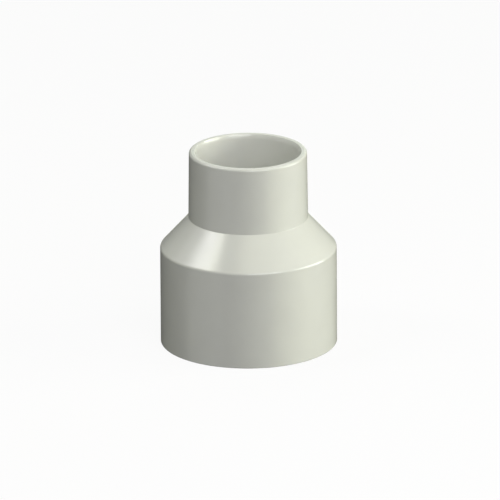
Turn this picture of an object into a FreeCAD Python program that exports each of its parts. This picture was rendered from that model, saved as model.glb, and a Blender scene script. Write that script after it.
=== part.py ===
"""Concentric reducer: a one-piece injection-moulded PVC-U pipe fitting.

A plain solvent-cement socket for 75 mm pipe narrows through a short straight cone to
one for 50 mm pipe. The fitting stands on the large socket's mouth. The origin is at
the middle of that mouth and +Z runs along the pipe line to the small socket.
Everything is in millimetres.
"""
import FreeCAD, Part

import os

import Sketcher

OUT_DIR = "parts"
SHEET = "Dimensions"
NEAR = 1e-3  # how closely a circular edge has to match the corner it is found by, mm

# Every size of the fitting: its alias, its value in millimetres, what it is.
DRIVING = [
    ("large_outer", 85.0, "outside diameter of the large socket"),
    ("shoulder_up", 47.8, "height of the shoulder, where the large socket meets the cone"),
    ("neck_outer", 57.6, "outside diameter of the small socket at the neck"),
    ("neck_up", 63.05, "height of the neck, where the cone meets the small socket"),
    ("small_outer", 56.8, "outside diameter of the small socket at its mouth, after draft"),
    ("overall_up", 96.0, "overall height"),
    ("large_bore", 75.2, "inside diameter of the large socket"),
    ("large_depth", 43.5, "depth of the large socket, half the pipe's diameter plus 6"),
    ("small_bore", 50.2, "inside diameter of the small socket"),
    ("small_depth", 31.0, "depth of the small socket, half the pipe's diameter plus 6"),
    ("lead_width", 0.65, "how far each socket's lead-in opens out, on the radius"),
    ("lead_depth", 1.45, "how far each socket's lead-in reaches in, before it is rounded"),
    ("lead_round", 6.0, "round that blends each lead-in into its bore"),
    ("chamber_bore", 69.0, "waterway's diameter just past the large pipe stop"),
    ("chamber_up", 48.0, "height where the inner cone starts"),
    ("throat_up", 61.3, "height where the inner cone ends"),
    ("throat_bore", 45.0, "waterway's narrowest diameter"),
    ("small_rim_round", 1.3, "round on the outer edge of the small mouth"),
    ("large_rim_round", 0.4, "round on the outer edge of the large mouth"),
    ("lip_round", 0.3, "round on the inner edge of each mouth"),
    ("shoulder_round", 2.0, "round on the shoulder"),
    ("neck_round", 0.5, "round in the neck"),
    ("stop_round", 0.5, "round in the corner and on the lip of each pipe stop"),
    ("flow_round", 1.5, "round at each end of the inner cone"),
]

# The outlines, as half sections: each corner's name, its distance from the axis and
# its height. Braces hold aliases.
OUTSIDE = [
    ("axis_foot", "0", "0"),
    ("large_rim", "{large_outer} / 2", "0"),
    ("shoulder", "{large_outer} / 2", "{shoulder_up}"),
    ("neck", "{neck_outer} / 2", "{neck_up}"),
    ("small_rim", "{small_outer} / 2", "{overall_up}"),
    ("axis_top", "0", "{overall_up}"),
]
WATERWAY = [
    ("way_foot", "0", "0"),
    ("large_mouth", "{large_bore} / 2 + {lead_width}", "0"),
    ("large_lead", "{large_bore} / 2", "{lead_depth}"),
    ("large_stop", "{large_bore} / 2", "{large_depth}"),
    ("large_lip", "{chamber_bore} / 2", "{large_depth}"),
    ("chamber", "{chamber_bore} / 2", "{chamber_up}"),
    ("throat", "{throat_bore} / 2", "{throat_up}"),
    ("small_lip", "{throat_bore} / 2", "{overall_up} - {small_depth}"),
    ("small_stop", "{small_bore} / 2", "{overall_up} - {small_depth}"),
    ("small_lead", "{small_bore} / 2", "{overall_up} - {lead_depth}"),
    ("small_mouth", "{small_bore} / 2 + {lead_width}", "{overall_up}"),
    ("way_head", "0", "{overall_up}"),
]

# The rounds, in the order they are made: a name, the alias of the size, the corners.
ROUNDS = [
    ("ShoulderRound", "shoulder_round", ["shoulder"]),
    ("NeckRound", "neck_round", ["neck"]),
    ("SmallRimRound", "small_rim_round", ["small_rim"]),
    ("LargeRimRound", "large_rim_round", ["large_rim"]),
    ("FlowRounds", "flow_round", ["chamber", "throat"]),
    ("StopRounds", "stop_round", ["large_stop", "large_lip", "small_stop", "small_lip"]),
    ("LeadRounds", "lead_round", ["large_lead", "small_lead"]),
    ("LipRounds", "lip_round", ["large_mouth", "small_mouth"]),
]


def fill_sheet(doc):
    """The spreadsheet that holds every size."""
    sheet = doc.addObject("Spreadsheet::Sheet", SHEET)
    for row, (alias, value, meaning) in enumerate(DRIVING, start=1):
        sheet.set(f"A{row}", alias)
        sheet.set(f"B{row}", str(value))
        sheet.set(f"C{row}", meaning)
        sheet.setAlias(f"B{row}", alias)
    doc.recompute()


def formula(text):
    """An expression with each alias in braces written as its cell of the sheet."""
    return text.format(**{alias: f"{SHEET}.{alias}" for alias, _, _ in DRIVING})


def origin_plane(body, role):
    """The body's own origin plane with this role."""
    return next(f for f in body.Origin.OriginFeatures if f.Role == role)


def place_corner(sketch, line, name, distance, kind, on_axis):
    """Holds the start of a line at a distance from the sketch's origin along one axis."""
    if distance == "0":
        sketch.addConstraint(Sketcher.Constraint("PointOnObject", line, 1, on_axis))
        return
    start = sketch.getPoint(line, 1)
    here = start.x if kind == "DistanceX" else start.y
    index = sketch.addConstraint(Sketcher.Constraint(kind, -1, 1, line, 1, here))
    sketch.renameConstraint(index, name)
    sketch.setExpression(f"Constraints.{name}", formula(distance))


def outline(body, name, corners):
    """A sketch of straight lines from corner to corner, on the body's XZ plane.

    The lines are drawn roughly at first, and the sheet puts each corner in its place.
    """
    sketch = body.newObject("Sketcher::SketchObject", name)
    sketch.AttachmentSupport = [(origin_plane(body, "XZ_Plane"), "")]
    sketch.MapMode = "FlatFace"
    count = len(corners)
    rough = [FreeCAD.Vector(40, 5 + 5 * i, 0) for i in range(count)]
    for i in range(count):
        sketch.addGeometry(Part.LineSegment(rough[i], rough[(i + 1) % count]), False)
    for i in range(count):
        sketch.addConstraint(Sketcher.Constraint("Coincident", i, 2, (i + 1) % count, 1))
    for i, (corner, radius, height) in enumerate(corners):
        place_corner(sketch, i, f"{corner}_radius", radius, "DistanceX", on_axis=-2)
        place_corner(sketch, i, f"{corner}_height", height, "DistanceY", on_axis=-1)
    body.Document.recompute()
    return sketch


def full_turn(body, kind, name, sketch):
    """A Revolution or a Groove of a sketch, once round the vertical axis."""
    feature = body.newObject(f"PartDesign::{kind}", name)
    feature.Profile = sketch
    feature.ReferenceAxis = (sketch, ["V_Axis"])
    feature.Angle = 360.0
    body.Document.recompute()
    return feature


def corner_places(sketch, corners):
    """Where the sheet has put each corner of a sketch: name to (radius, height)."""
    places = {}
    for i, (corner, _, _) in enumerate(corners):
        point = sketch.getPoint(i, 1)
        places[corner] = (point.x, point.y)
    return places


def edge_at(shape, radius, height):
    """The name of the shape's circular edge with this radius at this height."""
    for i, edge in enumerate(shape.Edges, start=1):
        if not isinstance(edge.Curve, Part.Circle):
            continue
        off = max(abs(edge.Curve.Radius - radius), abs(edge.Curve.Center.z - height))
        if off < NEAR:
            return f"Edge{i}"
    raise ValueError(f"no circular edge of radius {radius} at height {height}")


def rounded(body, name, alias, corners, places):
    """A fillet with one radius at each of the corners."""
    base = body.Tip
    edges = [edge_at(base.Shape, *places[corner]) for corner in corners]
    fillet = body.newObject("PartDesign::Fillet", name)
    fillet.Base = (base, edges)
    fillet.setExpression("Radius", f"{SHEET}.{alias}")
    body.Document.recompute()


def reducer_body(doc):
    """The whole moulding as one body: the outer form, less the waterway, then rounds."""
    body = doc.addObject("PartDesign::Body", "ReducerBody")
    body.Label = "reducer_body"
    outside = outline(body, "OutsideOutline", OUTSIDE)
    form = full_turn(body, "Revolution", "OuterForm", outside)
    waterway = outline(body, "WaterwayOutline", WATERWAY)
    hollow = full_turn(body, "Groove", "Waterway", waterway)
    if hollow.Shape.Volume >= form.Shape.Volume:
        raise ValueError("the waterway took nothing away")
    places = {**corner_places(outside, OUTSIDE), **corner_places(waterway, WATERWAY)}
    for name, alias, corners in ROUNDS:
        rounded(body, name, alias, corners, places)
    return body


def check_sound(doc, parts):
    """Stops the build if any object failed to compute or any part's shape is bad."""
    broken = [o.Name for o in doc.Objects if {"Invalid", "Error"} & set(o.State)]
    if broken:
        raise ValueError(f"failed to compute: {broken}")
    for part in parts:
        if part.Shape.isNull() or not part.Shape.isValid():
            raise ValueError(f"{part.Label} has no valid shape")


def export(parts):
    """Writes each part's STEP file and prints its size."""
    os.makedirs(OUT_DIR, exist_ok=True)
    for part in parts:
        part.Shape.exportStep(os.path.join(OUT_DIR, part.Label + ".step"))
        box = part.Shape.optimalBoundingBox(False)
        span = f"{box.XLength:.2f} x {box.YLength:.2f} x {box.ZLength:.2f} mm"
        print(f"{part.Label}: {span}, {part.Shape.Volume / 1000:.2f} cm3")
        print(f"  {len(part.Shape.Solids)} solid, {len(part.Shape.Faces)} faces")


def main():
    doc = FreeCAD.newDocument("ConcentricReducer")
    fill_sheet(doc)
    parts = [reducer_body(doc)]
    doc.recompute()
    check_sound(doc, parts)
    export(parts)


main()
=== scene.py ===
import math
import bpy
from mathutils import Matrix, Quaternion, Vector


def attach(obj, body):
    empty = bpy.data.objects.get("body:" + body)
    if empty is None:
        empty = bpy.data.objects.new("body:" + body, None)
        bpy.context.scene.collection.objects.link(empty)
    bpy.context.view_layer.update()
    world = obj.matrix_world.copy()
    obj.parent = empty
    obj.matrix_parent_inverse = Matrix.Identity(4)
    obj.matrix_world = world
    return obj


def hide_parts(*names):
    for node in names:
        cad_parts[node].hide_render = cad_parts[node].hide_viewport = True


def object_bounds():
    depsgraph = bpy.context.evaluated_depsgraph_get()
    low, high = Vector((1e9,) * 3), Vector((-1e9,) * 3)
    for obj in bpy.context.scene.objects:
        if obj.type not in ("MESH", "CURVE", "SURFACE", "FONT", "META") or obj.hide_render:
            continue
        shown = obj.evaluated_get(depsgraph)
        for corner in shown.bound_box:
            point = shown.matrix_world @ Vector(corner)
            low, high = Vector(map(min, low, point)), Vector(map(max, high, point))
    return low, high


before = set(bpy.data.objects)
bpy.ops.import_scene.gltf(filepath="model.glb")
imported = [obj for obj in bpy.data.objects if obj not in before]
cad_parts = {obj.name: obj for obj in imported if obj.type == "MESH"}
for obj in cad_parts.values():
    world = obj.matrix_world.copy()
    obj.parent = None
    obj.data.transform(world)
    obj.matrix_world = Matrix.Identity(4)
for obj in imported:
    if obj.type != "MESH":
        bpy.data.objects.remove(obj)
CAD_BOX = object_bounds()

# A moulded PVC-U concentric reducer in a plain white studio. Metres throughout.
# The fitting stands on z = 0 with its axis on +Z, as in the CAD frame.

MM = 0.001
TOP = CAD_BOX[1].z

# The half section of the moulding, repeated from the CAD source: radius, height and
# round of each corner in millimetres, anticlockwise round the material.
SECTION = [
    (42.5, 0.0, 0.4),
    (42.5, 47.8, 2.0),
    (28.8, 63.05, 0.5),
    (28.4, 96.0, 1.3),
    (25.75, 96.0, 0.3),
    (25.1, 94.55, 6.0),
    (25.1, 65.0, 0.5),
    (22.5, 65.0, 0.5),
    (22.5, 61.3, 1.5),
    (34.5, 48.0, 1.5),
    (34.5, 43.5, 0.5),
    (37.6, 43.5, 0.5),
    (37.6, 1.45, 6.0),
    (38.25, 0.0, 0.3),
]
AROUND = 288  # facets round the axis
ARC_STEP = math.radians(4)  # most that the surface turns between two points of a round

# The plastic: its refraction, how far light soaks in, the two tints that it is mottled
# with, and the scale of each unevenness in features per metre.
IOR = 1.53
SOAK = 0.12
SOAK_RATIOS = (1.0, 0.95, 0.8)
SOAK_DEPTH = 1.2 * MM
DARK_TINT = (0.640, 0.648, 0.600, 1)
LIGHT_TINT = (0.672, 0.682, 0.628, 1)
CLOUDS, PATCHES, WAVES, PEEL = 55, 190, 60, 700
WAVE_DEPTH = 0.035 * MM
PEEL_DEPTH = 0.004 * MM
ON_RIM = 0.02 * MM  # a face this close to either end of the moulding is its flat rim


def unit(a, b):
    """The direction from a to b in the section's plane."""
    length = math.hypot(b[0] - a[0], b[1] - a[1])
    return ((b[0] - a[0]) / length, (b[1] - a[1]) / length)


def rounded_corner(before, corner, after, radius):
    """The points of one rounded corner, each with its outward normal."""
    d0, d1 = unit(before, corner), unit(corner, after)
    turn = math.atan2(d0[0] * d1[1] - d0[1] * d1[0], d0[0] * d1[0] + d0[1] * d1[1])
    reach = radius * math.tan(abs(turn) / 2)
    start = (corner[0] - d0[0] * reach, corner[1] - d0[1] * reach)
    side = math.copysign(radius, turn)
    centre = (start[0] - d0[1] * side, start[1] + d0[0] * side)
    steps = max(3, math.ceil(abs(turn) / ARC_STEP))
    angle = math.atan2(-d0[0], d0[1])
    points = []
    for i in range(steps + 1):
        a = angle + turn * i / steps
        n = (math.cos(a), math.sin(a))
        points.append(((centre[0] + n[0] * side, centre[1] + n[1] * side), n))
    return points


def section_points():
    """The whole closed half section: (radius, height) and outward normal, in metres."""
    out = []
    for i, (r, z, size) in enumerate(SECTION):
        before, after = SECTION[i - 1], SECTION[(i + 1) % len(SECTION)]
        for (pr, pz), n in rounded_corner(before, (r, z), after, size):
            out.append(((pr * MM, pz * MM), n))
    return out


def lathe(name, points, around):
    """A closed mesh turned from the section, with exact normals at every vertex."""
    verts, normals = [], []
    for j in range(around):
        c, s = math.cos(2 * math.pi * j / around), math.sin(2 * math.pi * j / around)
        verts += [(r * c, r * s, z) for (r, z), _ in points]
        normals += [(n[0] * c, n[0] * s, n[1]) for _, n in points]
    k = len(points)
    faces = []
    for j in range(around):
        a, b = j * k, (j + 1) % around * k
        for i in range(k):
            m = (i + 1) % k
            faces.append((a + i, b + i, b + m, a + m))
    mesh = bpy.data.meshes.new(name)
    mesh.from_pydata(verts, [], faces)
    mesh.shade_smooth()
    mesh.normals_split_custom_set_from_vertices(normals)
    obj = bpy.data.objects.new(name, mesh)
    bpy.context.scene.collection.objects.link(obj)
    return obj


def add(tree, kind, **values):
    """A shader node, with its inputs set by name, or by number as i0, i1 and so on."""
    made = tree.nodes.new(kind)
    for key, value in values.items():
        if key[0] == "i" and key[1:].isdigit():
            made.inputs[int(key[1:])].default_value = value
        elif key in {p.identifier for p in made.bl_rna.properties}:
            setattr(made, key, value)
        else:
            made.inputs[key.replace("_", " ")].default_value = value
    return made


def ring_coordinates(tree):
    """Coordinates that only change across the turned rings: radius and height."""
    place = add(tree, "ShaderNodeTexCoord")
    split = add(tree, "ShaderNodeSeparateXYZ")
    tree.links.new(place.outputs["Object"], split.inputs[0])
    flat = add(tree, "ShaderNodeCombineXYZ")
    tree.links.new(split.outputs["X"], flat.inputs["X"])
    tree.links.new(split.outputs["Y"], flat.inputs["Y"])
    radius = add(tree, "ShaderNodeVectorMath", operation="LENGTH")
    tree.links.new(flat.outputs[0], radius.inputs[0])
    rings = add(tree, "ShaderNodeCombineXYZ")
    tree.links.new(radius.outputs["Value"], rings.inputs["X"])
    tree.links.new(split.outputs["Z"], rings.inputs["Z"])
    return place.outputs["Object"], rings.outputs[0]


def grey(value):
    """A plain grey as a shader's colour."""
    return (value, value, value, 1)


def noise(tree, vector, scale, detail=2.0, roughness=0.5):
    """A noise texture's value over a coordinate; scale is in features per metre."""
    made = add(tree, "ShaderNodeTexNoise", Scale=scale, Detail=detail, Roughness=roughness)
    tree.links.new(vector, made.inputs["Vector"])
    return made.outputs["Fac"]


def remap(tree, value, low, high):
    """Noise round 0.5 spread over low to high."""
    made = add(tree, "ShaderNodeMapRange", i1=0.25, i2=0.75, i3=low, i4=high)
    tree.links.new(value, made.inputs[0])
    return made.outputs[0]


def bump(tree, height, distance, under=None):
    """A bump of a given depth in metres, on top of another one."""
    made = add(tree, "ShaderNodeBump", Strength=1.0, Distance=distance)
    tree.links.new(height, made.inputs["Height"])
    if under is not None:
        tree.links.new(under, made.inputs["Normal"])
    return made.outputs[0]


def pvcu(name, smooth, dull, ring_depth, ring_scale):
    """Moulded PVC-U: mottled tint, satin gloss, orange peel and the tool's fine rings."""
    mat = bpy.data.materials.new(name)
    mat.use_nodes = True
    tree = mat.node_tree
    shader = tree.nodes["Principled BSDF"]
    shader.inputs["IOR"].default_value = IOR
    shader.inputs["Subsurface Weight"].default_value = SOAK
    shader.inputs["Subsurface Radius"].default_value = SOAK_RATIOS
    shader.inputs["Subsurface Scale"].default_value = SOAK_DEPTH
    place, rings = ring_coordinates(tree)

    cloud = noise(tree, place, CLOUDS, 3.0)
    tint = add(tree, "ShaderNodeMix", data_type="RGBA")
    tint.inputs["A"].default_value = DARK_TINT
    tint.inputs["B"].default_value = LIGHT_TINT
    tree.links.new(remap(tree, cloud, 0.0, 1.0), tint.inputs["Factor"])
    tree.links.new(tint.outputs["Result"], shader.inputs["Base Color"])

    patches = noise(tree, place, PATCHES, 4.0, 0.6)
    tree.links.new(remap(tree, patches, smooth, dull), shader.inputs["Roughness"])

    waves = bump(tree, noise(tree, place, WAVES, 1.0), WAVE_DEPTH)
    peel = bump(tree, noise(tree, place, PEEL, 2.0), PEEL_DEPTH, waves)
    turned = bump(tree, noise(tree, rings, ring_scale, 3.0), ring_depth, peel)
    tree.links.new(turned, shader.inputs["Normal"])
    return mat


def region(face):
    """Which finish a face of the moulding has: 0 outside, 1 inside, 2 the flat rims."""
    place = face.center
    if place.z < ON_RIM or place.z > TOP - ON_RIM:
        return 2
    faces_out = face.normal.x * place.x + face.normal.y * place.y > 0
    stop_ledge = abs(face.normal.z) > 0.99
    return 0 if faces_out and not stop_ledge else 1


def moulding():
    """The fitting itself, turned finely enough for its silhouette to be smooth."""
    obj = lathe("reducer_moulding", section_points(), AROUND)
    obj.data.materials.append(pvcu("pvcu_outside", 0.17, 0.25, 0.003 * MM, 2600))
    obj.data.materials.append(pvcu("pvcu_inside", 0.15, 0.23, 0.003 * MM, 3200))
    obj.data.materials.append(pvcu("pvcu_rim", 0.26, 0.34, 0.006 * MM, 4200))
    for face in obj.data.polygons:
        face.material_index = region(face)
    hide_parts("reducer_body")
    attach(obj, "root")
    return obj


# Softboxes: azimuth from the camera's side towards +X, elevation, width and height,
# all in degrees as the fitting sees them; radiance; tint. The five strips are one
# curved bank of lights, which the cone shows as its bright streak.
LIGHTS = [
    ("key", 87, 14, 42, 26, 7.6, (0.99, 1.0, 0.885)),
    ("key_foot", 96, -5, 24, 14, 2.2, (0.90, 0.88, 1.0)),
    ("front", 20, 32, 42, 26, 4.55, (0.975, 0.96, 1.0)),
    ("front_low", 24, 10, 36, 16, 1.4, (0.85, 0.86, 1.0)),
    ("strip_top", -68, 56, 8, 14, 8.4, (0.98, 1.0, 0.86)),
    ("strip_upper", -78, 52, 8, 14, 6.3, (1.0, 1.0, 0.98)),
    ("strip_lower", -88, 48, 9, 14, 7.7, (1.0, 1.0, 0.98)),
    ("strip_foot", -98, 43, 9, 14, 4.1, (1.0, 1.0, 1.0)),
    ("strip_side", -112, 34, 18, 14, 0.75, (0.98, 0.96, 1.0)),
    ("top", 30, 75, 40, 30, 1.2, (0.97, 1.0, 0.75)),
    ("bounce_right", 60, -25, 50, 26, 0.58, (0.94, 1.0, 0.60)),
    ("bounce_left", -60, -25, 50, 26, 0.52, (0.98, 1.0, 0.92)),
    ("back", 168, 15, 30, 22, 1.1, (0.88, 1.0, 0.88)),
    ("back_high", -160, 58, 60, 30, 1.5, (0.94, 0.95, 1.0)),
    ("behind", 180, -6, 20, 20, 0.9, (0.96, 1.0, 0.80)),
    ("below", 0, -86, 44, 44, 0.4, (0.98, 1.0, 0.90)),
]
LIGHT_DISTANCE = 1.2
AMBIENT = 0.03  # the studio's own light, from all round
PALE = 0.985  # the backdrop and the floor's own glow
FLOOR_PAINT = 0.9
FLOOR_SHARE = 0.08  # how much of the floor is paint that takes light, the rest glows
FLOOR_HALF = 6.0  # half the floor's width

# The camera. Lens and sensor are in millimetres, the other lengths in metres.
ELEVATION = math.radians(19.0)
ROLL = math.radians(0.33)
LENS = 1197.0
SENSOR = 36.0
AWAY = 8.0
AIM = Vector((0.74 * MM, 0, 48.45 * MM))
AIM_DROP = 2.67 * MM  # how far below AIM the middle of the picture is, in the picture


def softbox(name, azimuth, elevation, wide, high, radiance, tint):
    """A rectangular light that faces the fitting."""
    width = 2 * LIGHT_DISTANCE * math.tan(math.radians(wide / 2))
    height = 2 * LIGHT_DISTANCE * math.tan(math.radians(high / 2))
    a, e = math.radians(azimuth), math.radians(elevation)
    out = Vector((math.sin(a) * math.cos(e), -math.cos(a) * math.cos(e), math.sin(e)))
    data = bpy.data.lights.new(name, "AREA")
    data.shape = "RECTANGLE"
    data.size = width
    data.size_y = height
    data.energy = radiance * math.pi * width * height
    data.color = tint
    lamp = bpy.data.objects.new(name, data)
    lamp.location = Vector((0, 0, TOP / 2)) + out * LIGHT_DISTANCE
    lamp.rotation_mode = "QUATERNION"
    lamp.rotation_quaternion = out.to_track_quat("Z", "Y")
    lamp.visible_camera = False
    bpy.context.scene.collection.objects.link(lamp)


def backdrop():
    """The world: pale to the camera, and a soft ambient light to everything else."""
    world = bpy.data.worlds.new("studio")
    bpy.context.scene.world = world
    world.use_nodes = True
    tree = world.node_tree
    tree.nodes.clear()
    ambient = add(tree, "ShaderNodeBackground", Color=grey(AMBIENT))
    pale = add(tree, "ShaderNodeBackground", Color=grey(PALE))
    path = add(tree, "ShaderNodeLightPath")
    mix = add(tree, "ShaderNodeMixShader")
    tree.links.new(path.outputs["Is Camera Ray"], mix.inputs[0])
    tree.links.new(ambient.outputs[0], mix.inputs[1])
    tree.links.new(pale.outputs[0], mix.inputs[2])
    out = add(tree, "ShaderNodeOutputWorld")
    tree.links.new(mix.outputs[0], out.inputs["Surface"])


def floor():
    """A pale floor that shows a faint shadow, and nothing at all from underneath."""
    mat = bpy.data.materials.new("pale_floor")
    mat.use_nodes = True
    tree = mat.node_tree
    tree.nodes.clear()
    glow = add(tree, "ShaderNodeEmission", Color=grey(PALE))
    paint = add(tree, "ShaderNodeBsdfDiffuse", Color=grey(FLOOR_PAINT))
    surface = add(tree, "ShaderNodeMixShader", Fac=FLOOR_SHARE)
    tree.links.new(glow.outputs[0], surface.inputs[1])
    tree.links.new(paint.outputs[0], surface.inputs[2])
    clear = add(tree, "ShaderNodeBsdfTransparent")
    facing = add(tree, "ShaderNodeNewGeometry")
    mix = add(tree, "ShaderNodeMixShader")
    tree.links.new(facing.outputs["Backfacing"], mix.inputs[0])
    tree.links.new(surface.outputs[0], mix.inputs[1])
    tree.links.new(clear.outputs[0], mix.inputs[2])
    out = add(tree, "ShaderNodeOutputMaterial")
    tree.links.new(mix.outputs[0], out.inputs["Surface"])
    mesh = bpy.data.meshes.new("floor")
    corners = ((-1, -1), (1, -1), (1, 1), (-1, 1))
    square = [(x * FLOOR_HALF, y * FLOOR_HALF, 0) for x, y in corners]
    mesh.from_pydata(square, [], [(0, 1, 2, 3)])
    mesh.materials.append(mat)
    obj = bpy.data.objects.new("floor", mesh)
    bpy.context.scene.collection.objects.link(obj)
    obj.visible_diffuse = False
    obj.visible_glossy = False
    obj.visible_shadow = False


def camera():
    """A long lens from in front, looking down a little, at the middle of the fitting."""
    data = bpy.data.cameras.new("camera")
    data.sensor_width = SENSOR
    data.lens = LENS
    data.clip_start = 0.1
    cam = bpy.data.objects.new("camera", data)
    back = Vector((0, -math.cos(ELEVATION), math.sin(ELEVATION)))
    up = Vector((0, math.sin(ELEVATION), math.cos(ELEVATION)))
    cam.location = AIM - up * AIM_DROP + back * AWAY
    cam.rotation_mode = "QUATERNION"
    level = (-back).to_track_quat("-Z", "Y")
    cam.rotation_quaternion = level @ Quaternion((0, 0, 1), -ROLL)
    bpy.context.scene.collection.objects.link(cam)
    bpy.context.scene.camera = cam


moulding()
for light in LIGHTS:
    softbox(*light)
backdrop()
floor()
camera()
bpy.context.scene.view_settings.view_transform = "Standard"
